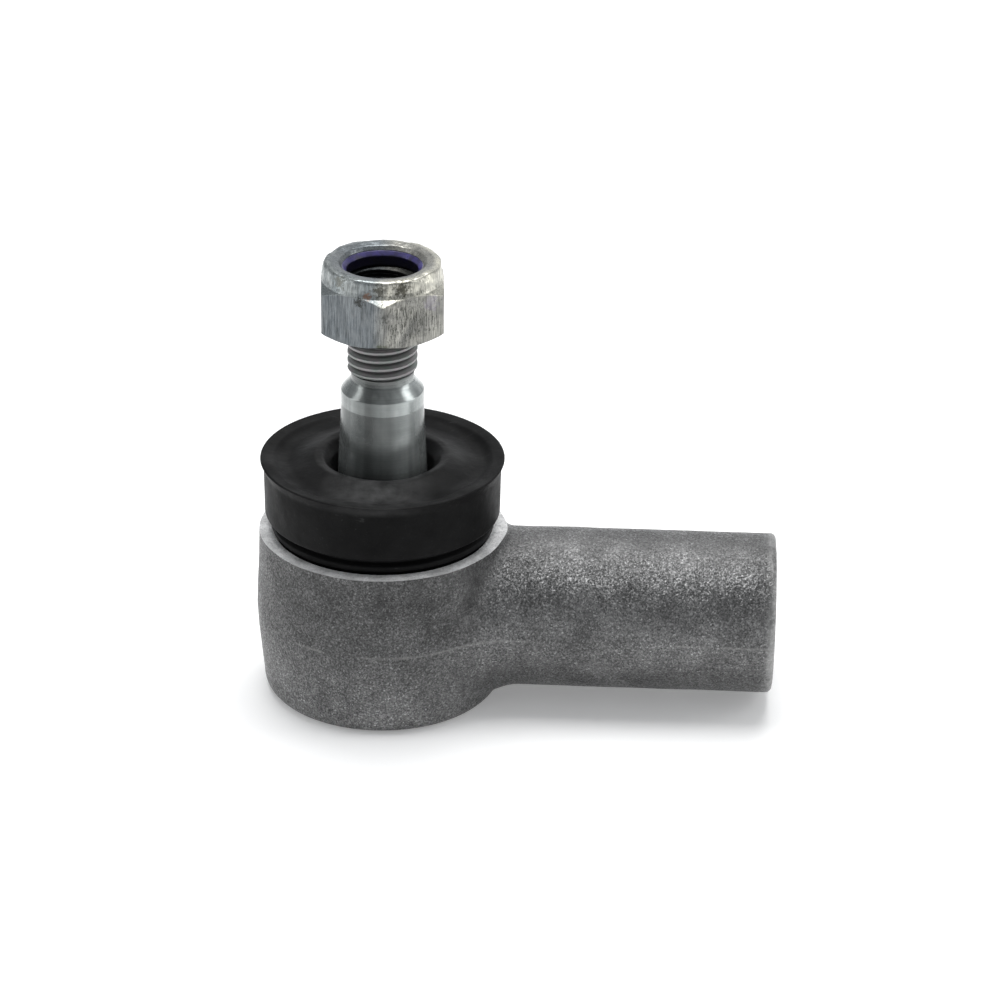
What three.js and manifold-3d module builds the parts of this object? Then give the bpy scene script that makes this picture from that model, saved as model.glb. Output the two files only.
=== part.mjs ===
// Tie rod end with a female shank thread: a ball stud in a forged housing, under a rubber dust boot.
// Millimetres. +Z is the stud's axis, +X the shank's axis. The origin is on the resting face, under the ball.
import * as THREE from "three";
import { mergeVertices } from "three/addons/utils/BufferGeometryUtils.js";
import Module from "manifold-3d";

const wasm = await Module();
wasm.setup();

// ---------- driving dimensions ----------

const FINE = 36; // sides of the large round surfaces
const MEDIUM = 24; // sides of the inner pieces
const GAP = 0.3; // clearance between neighbours

const housing = {
  height: 24.9,
  axisZ: 12.8, // height of the shank's axis and of the forging's parting plane
  partingR: 18.1,
  rimR: 17.6,
  wallFootR: 17.2,
  footR: 15.1, // flat face that it stands on
  cornerR: 2.1,
  floor: 2.6,
  boreR: 13.4,
  mouthR: 15.4,
  mouthFloorZ: 19.4,
  grooveR: 16.3,
  grooveZ: 21.55,
  grooveHeight: 1.5,
};
const shank = {
  radius: 11.5,
  length: 56.5, // from the stud's axis
  edge: 0.7,
  boreR: 6.2, // minor radius of M14 x 1.5
  boreDepth: 31,
  mouthR: 7.4,
  drillTip: 3.6,
  rootR: 12,
  rootX: 14,
  rootLength: 6.5,
  spread: 1.12,
};
const ball = { radius: 9.5, poleFlat: 9.1 };
const spring = { innerR: 8, rise: 0.8, thick: 0.6 };
const seat = { footZ: 4.8, partingHalf: 0.25, openingR: 10.5, coverAngle: 30 };
const closing = { innerR: 10.6, height: 1.9, bevel: 0.7 };
const clip = { innerR: 13.5, thick: 1.2, lugY: 3.7, lugLength: 2.6, lugWidth: 2.8, holeR: 0.7, gapWidth: 5 };
const stud = {
  neckR: 5,
  neckTopZ: 25.4,
  taperFootZ: 29,
  taperFootR: 6.6, // 1:10 on diameter up to the small end
  taperTopZ: 44.5,
  taperTopR: 5.825,
  landTopZ: 46.7,
  shoulderTopZ: 47.9,
  reliefR: 4.45,
  threadZ: 49.3,
  endZ: 61.6,
};
const thread = { pitch: 1.25, crestR: 4.93, rootR: 4.2, crestFlat: 0.2, sides: 16 };
const FLANK = Math.tan(Math.PI / 6);
const nut = {
  acrossFlats: 17,
  baseZ: 55.9,
  hexHeight: 7.5,
  collarHeight: 2.5,
  collarR: 8.35,
  collarRound: 1.1,
  openingR: 5.6,
  pocketR: 6.9,
  minorR: 4.45,
  slack: 0.11, // axial clearance of each thread flank
  turn: 4.4, // degrees that the hexagon is turned by
};
const insert = { outerR: 6.6, innerR: 5.08, height: 2.1 };
const boot = {
  beadR: 15.1,
  beadInnerR: 13.3,
  footZ: 23.35,
  wallR: 16.9,
  wallThick: 1.5,
  wallFootZ: 29.2,
  rimR: 17.4,
  rimZ: 36,
  neckR: 6.9,
  neckFootZ: 30.1,
  sleeveR: 7.9,
};
const beadBand = { footZ: 23.5, height: 1.9, thick: 0.9 };
const neckWire = { radius: 0.6, lift: 0.8 };

// ---------- geometry helpers ----------

// A closed three.js geometry as a manifold solid, with its faces turned outwards.
function solid(geometry) {
  const bare = geometry.clone();
  bare.deleteAttribute("normal");
  bare.deleteAttribute("uv");
  const merged = mergeVertices(bare, 1e-4);
  const triVerts = new Uint32Array(merged.index.array);
  const made = new wasm.Manifold(
    new wasm.Mesh({ numProp: 3, vertProperties: merged.attributes.position.array, triVerts }),
  );
  if (made.volume() > 0) return made;
  for (let i = 0; i < triVerts.length; i += 3) {
    [triVerts[i + 1], triVerts[i + 2]] = [triVerts[i + 2], triVerts[i + 1]];
  }
  return new wasm.Manifold(
    new wasm.Mesh({ numProp: 3, vertProperties: merged.attributes.position.array, triVerts }),
  );
}

// Turns an outline of [radius, z] points about the Z axis.
function turned(outline, sides = MEDIUM) {
  const points = outline.map(([r, z]) => new THREE.Vector2(r, z));
  const last = points[points.length - 1];
  const onAxis = points[0].x === 0 && last.x === 0;
  if (!onAxis) points.push(points[0].clone());
  return solid(new THREE.LatheGeometry(points, sides).rotateX(Math.PI / 2));
}

// Turns an outline of [radius, x] points about the shank's axis.
function turnedAlongX(outline, sides = FINE) {
  const points = outline.map(([r, x]) => new THREE.Vector2(r, x));
  const geometry = new THREE.LatheGeometry(points, sides);
  return solid(geometry.rotateZ(-Math.PI / 2).translate(0, 0, housing.axisZ));
}

// Points of an arc about (cr, cz), from angle a to angle b in degrees.
function arc(cr, cz, radius, a, b, steps) {
  return Array.from({ length: steps + 1 }, (_, i) => {
    const angle = THREE.MathUtils.degToRad(a + ((b - a) * i) / steps);
    return [cr + radius * Math.cos(angle), cz + radius * Math.sin(angle)];
  });
}

// A section of [radius, z] points carried up a helix, closed by its two end sections.
function helix(section, pitch, z, turns, sides) {
  const steps = Math.round(turns * sides);
  const count = section.length;
  const position = [];
  const index = [];
  for (let i = 0; i <= steps; i++) {
    const angle = (2 * Math.PI * i) / sides;
    for (const [r, dz] of section) {
      position.push(r * Math.cos(angle), r * Math.sin(angle), z + dz + (pitch * i) / sides);
    }
  }
  for (let i = 0; i < steps; i++) {
    for (let j = 0; j < count; j++) {
      const a = i * count + j;
      const b = i * count + ((j + 1) % count);
      index.push(a, a + count, b, b, a + count, b + count);
    }
  }
  const top = steps * count;
  for (let j = 1; j < count - 1; j++) {
    index.push(0, j, j + 1);
    index.push(top, top + j + 1, top + j);
  }
  const geometry = new THREE.BufferGeometry();
  geometry.setAttribute("position", new THREE.Float32BufferAttribute(position, 3));
  geometry.setIndex(index);
  return solid(geometry);
}

// The section of a 60 degree thread ridge between two radii, crestHalf wide at the crest radius.
function ridge(innerR, outerR, crestHalf) {
  const half = (r) => crestHalf + (thread.crestR - r) * FLANK;
  return [
    [innerR, -half(innerR)],
    [outerR, -half(outerR)],
    [outerR, half(outerR)],
    [innerR, half(innerR)],
  ];
}

function drum(radius, z0, z1, sides = MEDIUM) {
  return turned([[0, z0], [radius, z0], [radius, z1], [0, z1]], sides);
}

const root = new THREE.Group();

// Adds a solid to the part as a named mesh.
function place(name, shape, look) {
  const made = shape.getMesh();
  const geometry = new THREE.BufferGeometry();
  geometry.setAttribute("position", new THREE.BufferAttribute(made.vertProperties, 3));
  geometry.setIndex(new THREE.BufferAttribute(made.triVerts, 1));
  geometry.computeVertexNormals();
  const mesh = new THREE.Mesh(geometry, new THREE.MeshStandardMaterial(look));
  mesh.name = name;
  root.add(mesh);
}

// ---------- housing: bucket and shank in one forging ----------

function bucketOutside() {
  const { footR, cornerR, wallFootR, partingR, rimR, axisZ, height } = housing;
  return turned(
    [
      [0, 0],
      ...arc(footR, cornerR, cornerR, -90, 0, 4),
      [(wallFootR + partingR) / 2 + 0.15, (cornerR + axisZ) / 2],
      [partingR, axisZ],
      [rimR, height],
      [0, height],
    ],
    FINE,
  );
}

function bucketInside() {
  const { floor, boreR, mouthR, mouthFloorZ, grooveR, grooveZ, grooveHeight, height } = housing;
  return turned(
    [
      [0, floor],
      [boreR, floor],
      [boreR, mouthFloorZ],
      [mouthR, mouthFloorZ],
      [mouthR, grooveZ],
      [grooveR, grooveZ],
      [grooveR, grooveZ + grooveHeight],
      [mouthR, grooveZ + grooveHeight],
      [mouthR, height + 1],
      [0, height + 1],
    ],
    FINE,
  );
}

function shankOutside() {
  const { radius, length, edge } = shank;
  return turnedAlongX([
    [0, 0],
    [radius, 0],
    [radius, length - edge],
    [radius - edge, length],
    [0, length],
  ]);
}

// The root of the shank spreads sideways into the bucket.
function shankRoot() {
  const { rootR, rootX, rootLength, spread } = shank;
  const slim = (i) => [rootR - 0.12 * i * i, rootX + (rootLength * i) / 4];
  const outline = [[0, 0], [rootR, 0], slim(0), slim(1), slim(2), slim(3), slim(4), [0, rootX + rootLength]];
  const points = outline.map(([r, x]) => new THREE.Vector2(r, x));
  const geometry = new THREE.LatheGeometry(points, FINE).rotateZ(-Math.PI / 2);
  return solid(geometry.scale(1, spread, 1).translate(0, 0, housing.axisZ));
}

function shankBore() {
  const { boreR, boreDepth, mouthR, length, drillTip } = shank;
  const bottom = length - boreDepth;
  return turnedAlongX(
    [
      [0, bottom - drillTip],
      [boreR, bottom],
      [boreR, length - (mouthR - boreR)],
      [mouthR, length],
      [mouthR, length + 1],
      [0, length + 1],
    ],
    MEDIUM,
  );
}

place(
  "housing",
  bucketOutside().add(shankOutside()).add(shankRoot()).subtract(bucketInside()).subtract(shankBore()),
  { color: 0x6b6d6e, roughness: 0.62, metalness: 0.85 },
);

// ---------- bearing: spring, seats, closing ring and circlip ----------

const seatR = ball.radius + GAP;
const seatOuterR = housing.boreR - GAP;
const ballZ = housing.axisZ;

function discSpring() {
  const outerR = seatOuterR - 0.1;
  const z = housing.floor + GAP;
  return turned([
    [spring.innerR, z + spring.rise],
    [outerR, z],
    [outerR, z + spring.thick],
    [spring.innerR, z + spring.rise + spring.thick],
  ]);
}

function lowerSeat() {
  const angle = THREE.MathUtils.radToDeg(Math.asin((ballZ - seat.footZ) / seatR));
  return turned([
    ...arc(0, ballZ, seatR, -1.5, -angle, 7),
    [seatOuterR, seat.footZ],
    [seatOuterR, ballZ - seat.partingHalf],
  ]);
}

function upperSeat() {
  const top = housing.mouthFloorZ - GAP / 2;
  return turned([
    ...arc(0, ballZ, seatR, seat.coverAngle, 1.5, 4),
    [seatOuterR, ballZ + seat.partingHalf],
    [seatOuterR, top],
    [seat.openingR, top],
  ]);
}

function closingRing() {
  const { innerR, height, bevel } = closing;
  const z = housing.mouthFloorZ + GAP / 2;
  const outer = housing.mouthR - GAP;
  return turned([
    [innerR, z],
    [outer, z],
    [outer, z + height],
    [innerR + bevel, z + height],
    [innerR, z + height - bevel],
  ]);
}

// Internal circlip: an open ring with two drilled lugs.
function circlip() {
  const { innerR, thick, lugY, lugLength, lugWidth, holeR, gapWidth } = clip;
  const outer = housing.grooveR - 0.25;
  const z = housing.grooveZ + housing.grooveHeight / 2;
  const z0 = z - thick / 2;
  const z1 = z + thick / 2;
  const band = turned([[innerR, z0], [outer, z0], [outer, z1], [innerR, z1]]);
  const lug = (y) => solid(new THREE.BoxGeometry(lugLength, lugWidth, thick).translate(-(innerR - 0.2), y, z));
  const hole = (y) => {
    const pin = new THREE.CylinderGeometry(holeR, holeR, 2 * lugWidth, 12).rotateX(Math.PI / 2);
    return solid(pin.translate(-(innerR - 0.3), y, z));
  };
  const opening = solid(new THREE.BoxGeometry(8, gapWidth, 4).translate(-outer, 0, z));
  return band
    .add(lug(lugY))
    .add(lug(-lugY))
    .subtract(opening)
    .subtract(hole(lugY))
    .subtract(hole(-lugY));
}

const SPRING_STEEL = { color: 0x55585b, roughness: 0.45, metalness: 1 };
const SEAT_PLASTIC = { color: 0xd9d6c8, roughness: 0.5, metalness: 0 };
place("disc_spring", discSpring(), SPRING_STEEL);
place("lower_seat", lowerSeat(), SEAT_PLASTIC);
place("upper_seat", upperSeat(), SEAT_PLASTIC);
place("closing_ring", closingRing(), { color: 0x7c8083, roughness: 0.4, metalness: 1 });
place("circlip", circlip(), SPRING_STEEL);

// ---------- dust boot and its two rings ----------

function dustBoot() {
  const { beadR, beadInnerR, footZ, wallR, wallThick, wallFootZ, rimR, rimZ } = boot;
  const { neckR, neckFootZ, sleeveR } = boot;
  const rim = housing.height;
  const innerR = wallR - wallThick;
  return turned(
    [
      [beadInnerR, footZ],
      [beadR, footZ],
      [beadR, rim + 0.25],
      ...arc(beadR, rim + 1.2, 0.75, -70, 70, 2),
      [beadR - 0.1, rim + 2.7],
      ...arc(wallR - 1, wallFootZ + 0.3, 1, -75, 0, 2),
      [wallR, rimZ - 1.1],
      [rimR, rimZ - 0.2],
      [rimR - 0.1, rimZ],
      [rimR - 1.2, rimZ - 0.25],
      [rimR - 3.2, rimZ - 0.75],
      [rimR - 5.2, rimZ - 0.85],
      ...arc(neckR + 3.3, rimZ - 3.9, 3.3, 85, 180, 5),
      [neckR, neckFootZ],
      [sleeveR, neckFootZ],
      ...arc(neckR + 3.3, rimZ - 3.9, 2, 175, 90, 2),
      [innerR - 1, rimZ - 2.2],
      [innerR, rimZ - 3],
      [innerR, wallFootZ + 1],
      [beadInnerR + 0.2, wallFootZ - 1],
      [beadInnerR, rim + 1.6],
    ],
    FINE,
  );
}

// A ring of round wire about the Z axis.
function wireRing(radius, wire, z, sides = 8) {
  return turned(arc(radius, z, wire, 0, 360 - 360 / sides, sides - 1));
}

function beadRing() {
  const { footZ, height, thick } = beadBand;
  const outer = boot.beadInnerR - 0.25;
  const inner = outer - thick;
  return turned([[inner, footZ], [outer, footZ], [outer, footZ + height], [inner, footZ + height]]);
}

function neckRing() {
  const { radius, lift } = neckWire;
  return wireRing(boot.sleeveR + radius + GAP, radius, boot.neckFootZ + lift);
}

place("dust_boot", dustBoot(), { color: 0x1b1b1c, roughness: 0.75, metalness: 0 });
place("boot_bead_ring", beadRing(), SPRING_STEEL);
place("boot_neck_ring", neckRing(), SPRING_STEEL);

// ---------- ball stud ----------

function studBody() {
  const s = stud;
  const neckAngle = THREE.MathUtils.radToDeg(Math.acos(s.neckR / ball.radius));
  const poleAngle = THREE.MathUtils.radToDeg(Math.asin(ball.poleFlat / ball.radius));
  return turned(
    [
      [0, ballZ - ball.poleFlat],
      ...arc(0, ballZ, ball.radius, -poleAngle, neckAngle, 12),
      [s.neckR, s.neckTopZ],
      [s.neckR + 0.35, s.neckTopZ + 1.6],
      [s.taperFootR, s.taperFootZ - 0.3],
      [s.taperFootR, s.taperFootZ],
      [s.taperTopR, s.taperTopZ],
      [s.taperTopR, s.landTopZ],
      [s.reliefR + 0.3, s.shoulderTopZ],
      [s.reliefR, s.shoulderTopZ + 0.4],
      [s.reliefR, s.threadZ],
      [thread.rootR, s.threadZ + 0.6],
      [thread.rootR, s.endZ],
      [0, s.endZ],
    ],
    MEDIUM,
  );
}

// The ridge is cut to a cone at each end, so that it starts and stops at the root.
function studThread() {
  const { pitch, crestR, rootR, crestFlat, sides } = thread;
  const z = stud.threadZ;
  const turns = (stud.endZ - z) / pitch + 0.2;
  const section = ridge(rootR - 0.15, crestR, crestFlat / 2);
  const envelope = turned([
    [0, z],
    [stud.reliefR - 0.1, z],
    [crestR + 0.2, z + 0.9],
    [crestR + 0.2, stud.endZ - 1],
    [rootR, stud.endZ],
    [0, stud.endZ],
  ]);
  return helix(section, pitch, z - 0.3, turns, sides).intersect(envelope);
}

place("ball_stud", studBody().add(studThread()), { color: 0x8b9090, roughness: 0.3, metalness: 1 });

// ---------- lock nut with its nylon insert ----------

function nutOutside() {
  const { acrossFlats, baseZ, hexHeight, collarHeight, collarR, collarRound } = nut;
  const cornerR = acrossFlats / Math.sqrt(3);
  const top = baseZ + hexHeight;
  const whole = new THREE.CylinderGeometry(cornerR, cornerR, hexHeight, 6).rotateX(Math.PI / 2);
  whole.rotateZ(THREE.MathUtils.degToRad(nut.turn)).translate(0, 0, baseZ + hexHeight / 2);
  const chamfers = turned(
    [
      [0, baseZ],
      [collarR, baseZ],
      [cornerR + 0.2, baseZ + 0.95],
      [cornerR + 0.2, top - 1.35],
      [collarR, top],
      [0, top],
    ],
    FINE,
  );
  const lipZ = top + collarHeight - collarRound;
  const collar = turned(
    [
      [0, top - 0.5],
      [collarR, top - 0.5],
      ...arc(collarR - collarRound, lipZ, collarRound, 0, 90, 5),
      [nut.openingR + 0.6, top + collarHeight - 0.1],
      [nut.openingR, top + collarHeight - 0.7],
      [0, top + collarHeight - 0.7],
    ],
    FINE,
  );
  return solid(whole).intersect(chamfers).add(collar);
}

// Bore, countersink, insert pocket and thread, as one cutting tool.
function nutInside() {
  const { baseZ, minorR, hexHeight, pocketR, openingR, collarHeight, slack } = nut;
  const { pitch, crestFlat, sides } = thread;
  const pocketZ = baseZ + hexHeight - 0.5;
  const pocketTop = pocketZ + insert.height + 0.2;
  const bore = turned([
    [0, baseZ - 1],
    [6.4, baseZ - 1],
    [minorR, baseZ + 0.95],
    [minorR, pocketZ],
    [pocketR, pocketZ],
    [pocketR, pocketTop],
    [openingR, pocketTop],
    [openingR, baseZ + hexHeight + collarHeight + 1],
    [0, baseZ + hexHeight + collarHeight + 1],
  ]);
  // The grooves run with the stud's ridge, a whole number of turns above its start.
  const start = stud.threadZ - 0.3 + 4 * pitch;
  const section = ridge(minorR - 0.15, 5.1, crestFlat / 2 + slack);
  const grooves = helix(section, pitch, start, 9, sides);
  return bore.add(grooves.intersect(drum(6, baseZ - 1, pocketZ + 0.2)));
}

place("lock_nut", nutOutside().subtract(nutInside()), { color: 0xb5b8b8, roughness: 0.35, metalness: 1 });

function nylonInsert() {
  const z0 = nut.baseZ + nut.hexHeight - 0.4;
  const z1 = z0 + insert.height;
  const { innerR, outerR } = insert;
  return turned([
    [innerR + 0.3, z0],
    [outerR, z0],
    [outerR, z1],
    [innerR + 0.3, z1],
    [innerR, z1 - 0.3],
    [innerR, z0 + 0.3],
  ]);
}

place("nylon_insert", nylonInsert(), { color: 0x3f3d78, roughness: 0.4, metalness: 0 });

export default root;
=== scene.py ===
import math

import bmesh
import bpy
import numpy as np
from mathutils import Matrix, Vector, noise


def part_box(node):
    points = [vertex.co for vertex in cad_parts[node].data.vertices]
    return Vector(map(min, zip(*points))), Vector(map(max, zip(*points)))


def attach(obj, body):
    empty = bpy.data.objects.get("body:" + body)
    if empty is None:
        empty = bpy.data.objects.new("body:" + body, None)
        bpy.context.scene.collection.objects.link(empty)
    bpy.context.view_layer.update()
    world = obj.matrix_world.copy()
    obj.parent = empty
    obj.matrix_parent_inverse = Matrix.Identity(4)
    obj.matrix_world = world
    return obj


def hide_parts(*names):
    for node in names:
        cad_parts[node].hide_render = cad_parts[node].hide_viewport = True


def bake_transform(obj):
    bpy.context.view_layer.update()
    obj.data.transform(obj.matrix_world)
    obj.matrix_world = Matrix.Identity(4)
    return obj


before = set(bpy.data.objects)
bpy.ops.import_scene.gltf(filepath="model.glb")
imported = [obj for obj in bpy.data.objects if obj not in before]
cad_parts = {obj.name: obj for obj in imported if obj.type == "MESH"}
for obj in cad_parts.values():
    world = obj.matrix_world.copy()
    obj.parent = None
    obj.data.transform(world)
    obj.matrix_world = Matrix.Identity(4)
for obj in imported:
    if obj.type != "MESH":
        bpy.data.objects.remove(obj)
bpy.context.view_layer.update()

# Lengths in this file are in millimetres until a mesh is made. +Z is the stud's axis, +X the shank's.
MM = 0.001


def box_mm(node):
    """The lowest and highest corner of a CAD node, in millimetres."""
    low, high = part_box(node)
    return low / MM, high / MM


# ---------- driving dimensions ----------

_, HOUSING_HIGH = box_mm("housing")
BOOT_LOW, BOOT_HIGH = box_mm("dust_boot")
STUD_LOW, STUD_HIGH = box_mm("ball_stud")
NUT_LOW, NUT_HIGH = box_mm("lock_nut")
NYLON_LOW, NYLON_HIGH = box_mm("nylon_insert")

RIM_Z = HOUSING_HIGH.z
SHANK_END = HOUSING_HIGH.x
SHANK_R = 11.5
AXIS_Z = 12.8  # height of the shank's axis, of the forging's parting plane and of the ball
PARTING_R = 18.1
RIM_R = 17.6
FOOT_R = 17.2  # wall radius just above the rounded foot
FOOT_ROUND = 2.1
SHANK_ROUND = 0.8
FILLET_TOP, FILLET_FOOT = 1.8, 5.0  # smooth join of shank and bucket
BORE_R, BORE_FLOOR = 13.4, 2.6  # where the seats lie
MOUTH_R, MOUTH_FLOOR = 15.4, 19.4
GROOVE_R, GROOVE_FLOOR, GROOVE_TOP = 16.3, 21.55, 23.05  # for the circlip
SHANK_THREAD = {"pitch": 1.5, "minor": 6.2, "major": 7.05, "depth": 31.0, "mouth": 7.5}

BALL_R = 9.5
NECK_R = 5.0
TAPER_FOOT_R, TAPER_FOOT = 6.6, 29.0
TAPER_TOP_R, TAPER_TOP = 5.825, 44.5
LAND_R, LAND_TOP = 5.86, 46.55
RELIEF_R, RELIEF_FOOT = 4.45, 48.3
STUD_THREAD_FOOT = 49.3
STUD_PITCH = 1.25
STUD_ROOT_R, STUD_CREST_R = 4.22, 4.93
THREAD_START = 0.35  # height of a crest of the stud at angle 0, less whole pitches

NUT_HEX_HEIGHT = 7.5
NUT_FLATS = 17.0
HEX_TURN = math.radians(4.4)
NUT_ROOT_R, NUT_CREST_R = 5.1, 4.45
COLLAR_R, COLLAR_MOUTH_R, POCKET_R = 8.35, 5.62, 6.85
FORMED_R = 5.0  # the nylon's bore, formed by the stud's thread

BEAD_INNER_R, BEAD_OUTER_R = 13.3, 15.1  # of the boot
BOOT_NECK_R = 6.8

FLOOR_HALF = 4000


# ---------- mesh helpers ----------

def smoothstep(x):
    x = np.clip(x, 0, 1)
    return x * x * (3 - 2 * x)


def link(mesh, name, materials, sharp_degrees=35):
    obj = bpy.data.objects.new(name, mesh)
    bpy.context.scene.collection.objects.link(obj)
    for material in materials:
        mesh.materials.append(material)
    mesh.shade_smooth()
    mesh.set_sharp_from_angle(angle=math.radians(sharp_degrees))
    return obj


def mesh_from(points, faces, name):
    mesh = bpy.data.meshes.new(name)
    mesh.from_pydata((np.asarray(points) * MM).tolist(), [], faces)
    mesh.update()
    return mesh


def grid_faces(rows, columns, closed):
    """Quads of a grid whose columns close round, and whose rows close too if closed is true."""
    i, j = np.meshgrid(np.arange(rows if closed else rows - 1), np.arange(columns), indexing="ij")
    i, j = i.ravel(), j.ravel()
    i2, j2 = (i + 1) % rows, (j + 1) % columns
    quads = np.stack([i * columns + j, i * columns + j2, i2 * columns + j2, i2 * columns + j], 1)
    return quads.tolist()


def turned_points(radius, z, angles):
    """Points of a turned surface: radius is one number a row, or a row of numbers for every angle."""
    radius = np.asarray(radius, float)
    if radius.ndim == 1:
        radius = np.repeat(radius[:, None], len(angles), 1)
    z = np.repeat(np.asarray(z, float)[:, None], len(angles), 1)
    return np.stack([radius * np.cos(angles), radius * np.sin(angles), z], 2)


def turned_ring(name, radius, z, sides):
    """A closed ring: the outline runs anticlockwise in (radius, z)."""
    angles = np.linspace(0, 2 * math.pi, sides, endpoint=False)
    points = turned_points(radius, z, angles)
    return mesh_from(points.reshape(-1, 3), grid_faces(len(z), sides, True), name)


def turned_solid(name, radius, z, sides, poles):
    """A closed solid; its outline starts and ends near the axis, and poles are its end points' heights."""
    angles = np.linspace(0, 2 * math.pi, sides, endpoint=False)
    points = turned_points(radius, z, angles).reshape(-1, 3)
    rows = len(z)
    faces = grid_faces(rows, sides, False)
    low_pole, high_pole = len(points), len(points) + 1
    points = np.vstack([points, [[0, 0, poles[0]], [0, 0, poles[1]]]])
    for j in range(sides):
        k = (j + 1) % sides
        faces.append([low_pole, k, j])
        faces.append([high_pole, (rows - 1) * sides + j, (rows - 1) * sides + k])
    return mesh_from(points, faces, name)


def rounded(corners, steps=5):
    """An outline through corners of (radius, z, rounding), with an arc at each rounded corner."""
    corners = [tuple(c) if len(c) == 3 else (*c, 0) for c in corners]
    made = []
    count = len(corners)
    for i, (r, z, rounding) in enumerate(corners):
        here = np.array([r, z], float)
        if rounding == 0:
            made.append(here)
            continue
        before = np.array(corners[i - 1][:2], float) - here
        after = np.array(corners[(i + 1) % count][:2], float) - here
        u, v = before / np.linalg.norm(before), after / np.linalg.norm(after)
        half = math.acos(float(np.clip(u @ v, -1, 1))) / 2
        room = 0.49 * min(np.linalg.norm(before), np.linalg.norm(after))
        reach = min(rounding / math.tan(half), room)
        p, q = here + u * reach, here + v * reach
        for t in np.linspace(0, 1, steps + 1):  # a quadratic curve is close to the arc
            made.append((1 - t) ** 2 * p + 2 * t * (1 - t) * here + t * t * q)
    return np.array(made)


def finer(outline, longest, closed=True):
    """The outline with extra points, so that no stretch is longer than that."""
    made = []
    count = len(outline)
    for i in range(count if closed else count - 1):
        a, b = outline[i], outline[(i + 1) % count]
        pieces = max(1, int(math.ceil(np.linalg.norm(b - a) / longest)))
        made.extend(a + (b - a) * k / pieces for k in range(pieces))
    if not closed:
        made.append(outline[-1])
    return np.array(made)


def thread_radius(z, angles, pitch, root, crest, crest_flat, start=0.0):
    """Radius of a right-hand 60 degree thread at each height and angle. A nut's crest is under its root."""
    turn = (np.asarray(z)[:, None] - start - pitch * angles[None, :] / (2 * math.pi)) / pitch
    away = np.abs(turn - np.round(turn)) * pitch  # axial distance from the middle of the crest
    fall = np.clip(away - crest_flat / 2, 0, None) / math.tan(math.radians(30))
    sign = 1 if crest > root else -1
    depth = np.minimum(fall, abs(crest - root))
    soft, reach = 0.03, 0.12  # rounding where flank and root meet
    depth = depth - soft * np.exp(-(((fall - abs(crest - root)) / reach) ** 2))
    return crest - sign * depth


def cut(obj, tool):
    """Takes tool away from obj for good. Cut faces keep the tool's material."""
    modifier = obj.modifiers.new("cut", "BOOLEAN")
    modifier.operation = "DIFFERENCE"
    modifier.solver = "EXACT"
    modifier.material_mode = "TRANSFER"
    modifier.object = tool
    apply_modifiers(obj)
    bpy.data.objects.remove(tool)


def apply_modifiers(obj):
    depsgraph = bpy.context.evaluated_depsgraph_get()
    mesh = bpy.data.meshes.new_from_object(obj.evaluated_get(depsgraph))
    obj.modifiers.clear()
    obj.data = mesh


def clean(obj):
    """Merges points that lie together and takes out the slivers that the cuts leave."""
    work = bmesh.new()
    work.from_mesh(obj.data)
    bmesh.ops.triangulate(work, faces=[f for f in work.faces if len(f.verts) > 4])
    bmesh.ops.remove_doubles(work, verts=work.verts, dist=0.004 * MM)
    bmesh.ops.dissolve_degenerate(work, edges=work.edges, dist=0.002 * MM)
    work.to_mesh(obj.data)
    work.free()


def along_x(mesh):
    """Turns a mesh made about the Z axis so that it lies about the shank's axis."""
    mesh.transform(Matrix.Translation((0, 0, AXIS_Z * MM)) @ Matrix.Rotation(math.pi / 2, 4, "Y"))


# ---------- material helpers ----------

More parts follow.
